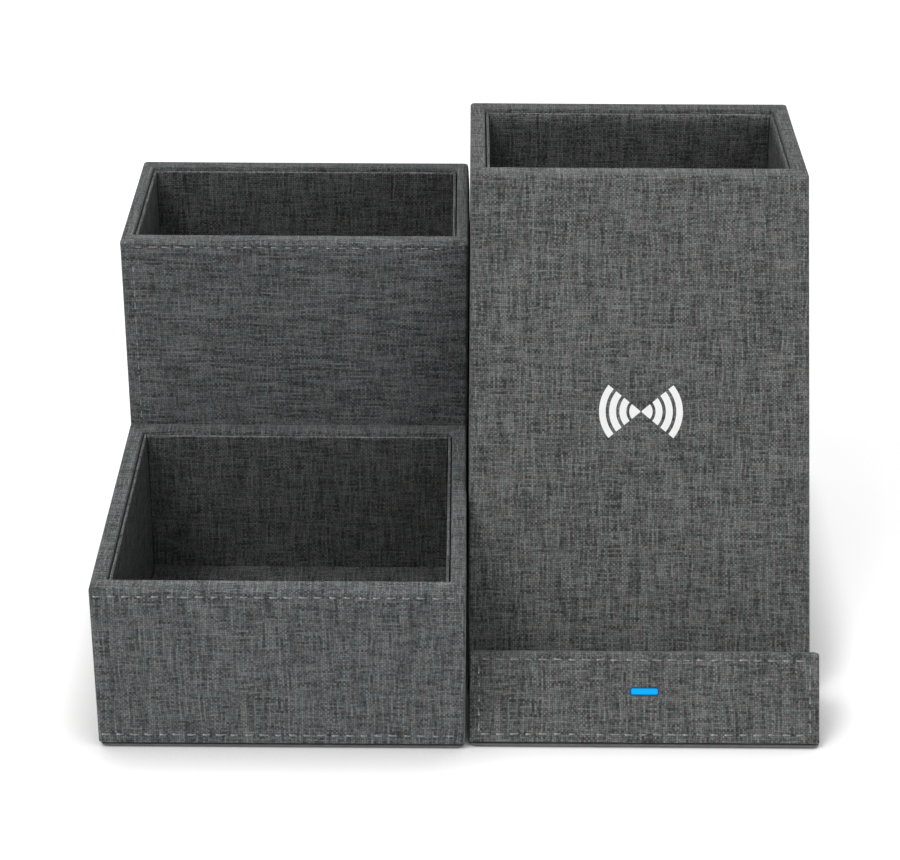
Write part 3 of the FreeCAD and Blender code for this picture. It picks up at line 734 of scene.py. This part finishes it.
panel = {"lean": 30.0}
lip = {
    "slot": 13.5, "thickness": 8.5, "ledgeRise": 5.0, "depth": 9.3, "rimRadius": 0.6, "ledgeRadius": 0.5,
    "endRadius": 0.6, "endSteps": 5, "rowSpacing": 2.0, "columnSpacing": 1.2, "cloth": 0.5, "wave": 0.1,
    "belowRim": 2.2, "aboveFoot": 2.2, "fromEnd": 2.6, "worn": 0.4, "wornRows": 8, "bendSteps": 6,
    "ledgeSteps": 3, "ledgeStops": (0.3, 0.6, 1.0), "weaveShift": (71.3, 19.1),
}
light = {  # front gives the domed face from its rim in, as shares of the dome and insets
    "drop": 10.9, "width": 8.0, "height": 2.3, "depth": 2.4, "corner": 0.8, "steps": 5, "gap": 0.03,
    "cutBehind": 2, "cutBefore": 1,
    "edge": 0.62, "edgeColour": (0.0, 0.02, 0.10, 1), "glow": (0.0, 0.43, 1.0, 1),
    "dome": 0.18, "front": ((-1, 0.0), (-0.45, 0.08), (0, 0.3), (0.25, 0.6), (0.35, 0.95)),
}
port = {"depth": 8.0}

lean = math.radians(panel["lean"])
coverLow, coverHigh = nodeBox("charger_cover")
chargerWall = wallOf("charger", "pen", "left", lean=panel["lean"])
footY = coverLow.y - coverLow.z * math.tan(lean)   # where the panel's plane meets the floor
topY = footY + coverHigh.z * math.tan(lean)
chargerWall["outer"] = (coverLow.x, coverHigh.x, topY, coverHigh.y)
chargerMiddle = (coverLow.x + coverHigh.x) / 2


def slope(x, up, out):
    # up along the leaning panel from the floor, out in front of it
    sine, cosine = math.sin(lean), math.cos(lean)
    return Vector((x, footY + up * sine - out * cosine, up * cosine + out * sine))


charger, chargerCharts = makeSleeve("charger_cover", chargerWall, charging, chargerCloth, seed=34)


def boxMesh(x0, x1, y0, y1, z0, z1):
    points = [Vector((x, y, z)) for z in (z0, z1) for x, y in ((x0, y0), (x1, y0), (x1, y1), (x0, y1))]
    return points, [(3, 2, 1, 0), (4, 5, 6, 7), (0, 1, 5, 4), (1, 2, 6, 5), (2, 3, 7, 6), (3, 0, 4, 7)]


surroundLow, surroundHigh = nodeBox("port_surround")
cutAway(charger, *boxMesh(surroundLow.x, surroundHigh.x, coverHigh.y - port["depth"], coverHigh.y + 2,
                          surroundLow.z, surroundHigh.z))


def makeLip():
    low, high = nodeBox("lip_cover")
    bottom, x0, x1 = low.z, low.x + facing["easeLip"], high.x - facing["easeLip"]
    outer, top = lip["slot"] + lip["thickness"], lip["ledgeRise"] + lip["depth"]
    footUp = (bottom - outer * math.sin(lean)) / math.cos(lean)
    tall = top - footUp
    width = x1 - x0
    levels = (lip["aboveFoot"], tall - lip["belowRim"])
    ends = (lip["fromEnd"], width - lip["fromEnd"])
    rows = [((ends[0], b), (ends[1], b)) for b in levels]
    rows += [((a, levels[0]), (a, levels[1])) for a in ends]
    leaning = Vector((0, math.sin(lean), math.cos(lean)))
    chart = newChart(slope(x0, footUp, outer), right, leaning, (width, tall), 47, lip["wave"], rows)
    heights = stops(0.4, tall - lip["rimRadius"] - 0.1, lip["rowSpacing"], levels)

    def section(x, inset):
        out, rim, slot, ledge = outer - inset, top - inset, lip["slot"] + inset, lip["ledgeRise"] - inset
        footAt = (bottom - out * math.sin(lean)) / math.cos(lean)
        foot, a, b = slope(x, footAt, out), slope(x, rim, out), slope(x, rim, slot)
        c, d = slope(x, ledge, slot), slope(x, ledge, 0)
        face = []
        for rise in heights:
            p = slope(x, footAt + rise * (rim - footAt) / tall, out)
            if inset == 0:
                p = p + chart["out"] * clothLift(chart, *chartPlace(chart, p))
            face.append(p)
        radius = lip["rimRadius"]
        line = [foot] + face
        for corner in ((foot, a, b), (a, b, c)):
            line += bend(*corner, radius, lip["bendSteps"])
        line += bend(b, c, d, lip["ledgeRadius"], lip["ledgeSteps"])
        return line + [c.lerp(d, t) for t in lip["ledgeStops"]]

    radius, steps, cloth = lip["endRadius"], lip["endSteps"], lip["cloth"]
    turns = [math.pi / 2 * i / steps for i in range(steps + 1)]
    first = [(x0 + radius * (1 - math.cos(t)), radius * (1 - math.sin(t))) for t in turns]
    last = [(x1 - radius * (1 - math.cos(t)), radius * (1 - math.sin(t))) for t in reversed(turns)]
    between = stops(x0 + radius, x1 - radius, lip["columnSpacing"], [x0 + a for a in ends])[1:-1]
    stations = first + [(x, 0.0) for x in between] + last
    narrower = 1 - 2 * cloth / width
    inner = [((x0 + x1) / 2 + (x - (x0 + x1) / 2) * narrower, inset + cloth) for x, inset in stations]
    columns = [section(x, inset) for x, inset in stations + inner]
    count, wide = len(columns[0]), len(stations)
    lengths = [0.0]
    middle = columns[wide // 2]
    for p, q in zip(middle, middle[1:]):
        lengths.append(lengths[-1] + (q - p).length)
    points = [p for c in columns for p in c]
    faces, threads, borders = [], [], []
    shift = lip["weaveShift"]

    def addFace(corners, inward):
        corners = tuple(reversed(corners)) if inward else tuple(corners)
        faces.append(corners)
        return corners

    for skin in (0, 1):   # the cloth's outside, then its inside
        start = skin * wide
        for c in range(start, start + wide - 1):
            for r in range(count - 1):
                corners = (c * count + r, (c + 1) * count + r, (c + 1) * count + r + 1, c * count + r + 1)
                corners = addFace(corners, skin)
                threads += [(points[i].x + shift[0], lengths[i % count] + shift[1]) for i in corners]
        backs = []
        for c, flip in ((start, False), (start + wide - 1, True)):
            x = points[c * count].x
            backs.append(len(points))
            rise = (bottom - skin * cloth * math.sin(lean)) / math.cos(lean)
            points.append(slope(x, rise, skin * cloth))
            ring = list(range(c * count, (c + 1) * count)) + [backs[-1]]
            ring = addFace(ring, flip != bool(skin))
            threads += [(points[i].y, points[i].z) for i in ring]
        front = [c * count for c in range(start, start + wide)]
        rear = [c * count + count - 1 for c in reversed(range(start, start + wide))]
        borders.append(front + [backs[1]] + rear + [backs[0]])
    for i in range(len(borders[0])):
        j = (i + 1) % len(borders[0])
        corners = addFace((borders[0][i], borders[1][i], borders[1][j], borders[0][j]), False)
        threads += [(points[k].x, points[k].y) for k in corners]
    # painted highlight along the lip's rim rows
    rim = range(1 + len(heights), 1 + len(heights) + lip["wornRows"])
    edge = [lip["worn"] if i % count in rim else 0.0 for i in range(len(points))]
    piece = makePiece("lip_cover", points, faces, threads, chargerCloth, charging,
                      ["lip_cover"], edge)
    return piece, chart, top


def barLine(halfWidth, halfHeight, radius, steps):
    # outline of a bar with rounded corners, as pairs across and up
    line = []
    for quarter, (side, rise) in enumerate(((1, 1), (-1, 1), (-1, -1), (1, -1))):
        for i in range(steps + 1):
            turn = math.pi / 2 * (quarter + i / steps)
            line.append((side * (halfWidth - radius) + radius * math.cos(turn),
                         rise * (halfHeight - radius) + radius * math.sin(turn)))
    return line


def squareBar(x, up, levels):
    # a bar square to the panel, ring by ring: how far out each lies and how much it is drawn in
    points = []
    for out, inset in levels:
        wide, tall = light["width"] / 2 - inset, light["height"] / 2 - inset
        ring = barLine(wide, tall, max(0.1, light["corner"] - inset), light["steps"])
        points += [slope(x + a, up + b, out) for a, b in ring]
    walls, caps = ringFaces(len(levels), len(ring))
    return points, walls + caps


def makeLight(lipPiece, lipTop):
    outer, up, x = lip["slot"] + lip["thickness"], lipTop - light["drop"], chargerMiddle
    reach = (outer - light["depth"] - light["cutBehind"], outer + light["cutBefore"])
    cutAway(lipPiece, *squareBar(x, up, [(out, -light["gap"]) for out in reach]))
    levels = [(outer - light["depth"], 0.0)]
    levels += [(outer + light["dome"] * share, inset) for share, inset in light["front"]]
    points, faces = squareBar(x, up, levels)
    count = len(points) // len(levels)
    threads = [(levels[i // count][1], 0.0) for face in faces for i in face]
    window = blueLight("blueLight", light)
    makePiece("led_window", points, faces, threads, window, charging, ["led_window"])


lipPiece, lipChart, lipTop = makeLip()
makeLight(lipPiece, lipTop)
sewRows("lip_stitching", [lipChart], charging)
print("charging case, lip and light are made")


# Printed charging sign: two fans of bands, mirrored about the coil's centre

sign = {"up": 82.4, "aside": 0.4, "halfAngle": 39.3, "lift": 0.05, "thickness": 0.12, "arcSteps": 20,
        "bands": ((0.25, 3.35), (4.2, 6.2), (7.15, 9.15), (10.15, 12.05))}


def makeSign():
    chart = chargerCharts["front"]
    footRise = coverLow.z / math.cos(lean)
    centreA, centreB = chargerMiddle - coverLow.x + sign["aside"], sign["up"] - footRise
    half = math.radians(sign["halfAngle"])
    points, faces, threads = [], [], []
    for side in (1, -1):
        for inner, outer in sign["bands"]:
            rings = (inner, (inner + outer) / 2, outer)
            first = len(points)
            for drop in (0, sign["thickness"]):
                for radius in rings:
                    for i in range(sign["arcSteps"] + 1):
                        turn = half * (2 * i / sign["arcSteps"] - 1) * side
                        a = centreA + side * radius * math.cos(turn)
                        b = centreB + side * radius * math.sin(turn)
                        points.append(onChart(chart, a, b, clothLift(chart, a, b) + sign["lift"] - drop))
            wide = sign["arcSteps"] + 1
            layer = wide * len(rings)

            def addQuad(*spots):
                faces.append(tuple(first + level * layer + ring * wide + i for level, ring, i in spots))
            for ring in range(2):
                for i in range(wide - 1):
                    addQuad((0, ring, i), (0, ring + 1, i), (0, ring + 1, i + 1), (0, ring, i + 1))
                    addQuad((1, ring, i + 1), (1, ring + 1, i + 1), (1, ring + 1, i), (1, ring, i))
            for i in range(wide - 1):
                addQuad((0, 0, i), (0, 0, i + 1), (1, 0, i + 1), (1, 0, i))
                addQuad((0, 2, i + 1), (0, 2, i), (1, 2, i), (1, 2, i + 1))
            end = wide - 1
            for ring in range(2):
                addQuad((0, ring + 1, 0), (0, ring, 0), (1, ring, 0), (1, ring + 1, 0))
                addQuad((0, ring, end), (0, ring + 1, end), (1, ring + 1, end), (1, ring, end))
    for face in faces:
        threads += [chartPlace(chart, points[i]) for i in face]
    makePiece("charging_sign", points, faces, threads, finish["whitePrint"], charging)


makeSign()


# Cards and sheets: lining cards, floor cards and base sheets, all with soft edges

def makeCard(name, low, high, look, material, body, slot, seed):
    # a box whose edges are rounded, slightly uneven over its broad faces
    radius = min(look["radius"], min(high - low) * look["halfThick"])
    near = [radius * (1 - math.tan(math.radians(a))) for a in look["edgeAngles"]]
    axes = []
    for k in range(3):
        inner = stops(low[k] + radius, high[k] - radius, look["spacing"])
        axes.append([low[k] + n for n in near] + inner + [high[k] - n for n in reversed(near)])
    shift = [seed * number for number in look["weaveShift"]]
    points, faces, threads, known, edge = [], [], [], {}, []

    def corner(key):
        if key not in known:
            p = Vector(axes[k][key[k]] for k in range(3))
            core = Vector(min(max(p[k], low[k] + radius), high[k] - radius) for k in range(3))
            way = (p - core).normalized()
            swell = look["wave"] * noise.noise(p / look["waveLength"] + upright * seed)
            known[key] = len(points)
            # a card's top edges get a painted highlight
            edge.append(look["worn"] if p.z > high.z - radius and look["thin"] < 2 else 0.0)
            uneven = Vector(swell if look["thin"] == k else 0.0 for k in range(3))
            points.append(core + way * radius + uneven)
        return known[key]

    for k in range(3):
        i, j = (k + 1) % 3, (k + 2) % 3
        for level in (0, len(axes[k]) - 1):
            for m in range(len(axes[i]) - 1):
                for n in range(len(axes[j]) - 1):
                    keys = []
                    for dm, dn in ((0, 0), (1, 0), (1, 1), (0, 1)):
                        key = [0, 0, 0]
                        key[k], key[i], key[j] = level, m + dm, n + dn
                        keys.append(tuple(key))
                    quad = [corner(key) for key in keys]
                    quad = quad if level else quad[::-1]
                    faces.append(tuple(quad))
                    u, v = ((1, 2), (0, 2), (0, 1))[k]
                    threads += [(points[q][u] + shift[0], points[q][v] + shift[1]) for q in quad]
    return makePiece(name, points, faces, threads, material, body, [name], edge)


cardLook = {
    "radius": 0.4, "spacing": 3.0, "wave": 0.12, "waveLength": 16, "behind": 0.3, "worn": 1.0,
    "halfThick": 0.49, "edgeAngles": (45, 30, 15), "weaveShift": (7.7, 3.1),
}


def lineCase(name, body, seed):
    for place, axis, way in (("left", 0, 1), ("right", 0, -1), ("front", 1, 1), ("rear", 1, -1)):
        node = f"{name}_lining_{place}"
        low, high = nodeBox(node)
        if way > 0:
            low[axis] += cardLook["behind"]
        else:
            high[axis] -= cardLook["behind"]
        seed += 1
        makeCard(node, low, high, {**cardLook, "thin": axis}, liningCloth, body, "lining_cloth", seed)
    node = name + "_floor_card"
    makeCard(node, *nodeBox(node), {**cardLook, "thin": 2}, liningCloth, body, "lining_cloth", seed + 1)


lineCase("tray", storage, seed=60)
lineCase("bin", storage, seed=70)
lineCase("pen", charging, seed=80)

baseLook = {
    "cornerRadius": 2.0, "edge": 0.2, "groove": 0.65, "rebate": 1.4, "bendSteps": 3, "cornerSteps": 6,
    "underLip": 0.95,
}


def makeBase(node, body, frontEase=0.0):
    # a sheet with a groove round its top edge, under the cloth's foot
    look = baseLook
    low, high = nodeBox(node)
    low.y += frontEase
    r, step = look["edge"], high.z - look["groove"]
    arc = [math.pi / 2 * i / look["bendSteps"] for i in range(look["bendSteps"] + 1)]
    levels = [(low.z + r * (1 - math.sin(t)), r * (1 - math.cos(t))) for t in reversed(arc)]
    levels += [(step - r * (1 - math.sin(t)), r * (1 - math.cos(t))) for t in arc]
    levels += [(step, look["rebate"]), (high.z, look["rebate"])]
    places = []
    for side in sideNames:
        places += [(side, "straight", share) for share in (0.0, 0.25, 0.5, 0.75, 1.0)]
        places += [(side, "corner", i / look["cornerSteps"]) for i in range(1, look["cornerSteps"])]
    points = []
    for z, inset in levels:
        rect = (low.x + inset, high.x - inset, low.y + inset, high.y - inset)
        points += [Vector((*ringPoint(place, rect, look["cornerRadius"] - inset), z)) for place in places]
    walls, caps = ringFaces(len(levels), len(places))
    faces = caps + walls
    threads = [(points[i].x, points[i].y) for face in faces for i in face]
    makePiece(node, points, faces, threads, finish["baseSheet"], body, [node])


makeBase("storage_base_board", storage)
makeBase("charger_base_board", charging, baseLook["underLip"])
print("linings and bases are laid")


# Finishes of the pieces that keep their built shape

coilLow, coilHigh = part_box("charging_coil")
slotFinish = {
    "cover_cloth": chargerCloth, "lining_cloth": liningCloth, "light_window": finish["carrierPlastic"],
    "circuit_board": boardFinish,
    "coil_copper": copperTurns("coilCopper", (coilLow + coilHigh) / 2, turnPitch=0.6 * mm),
}
for part in frame["record"]["subparts"]:
    slot = part["material_slot"]
    first, *rest = slot.split("_")
    camelName = first + "".join(word.title() for word in rest)
    materials = frame["nodes"][part["node"]].data.materials
    materials.clear()
    materials.append(slotFinish.get(slot) or finish[camelName])
print("finishes are on every node")
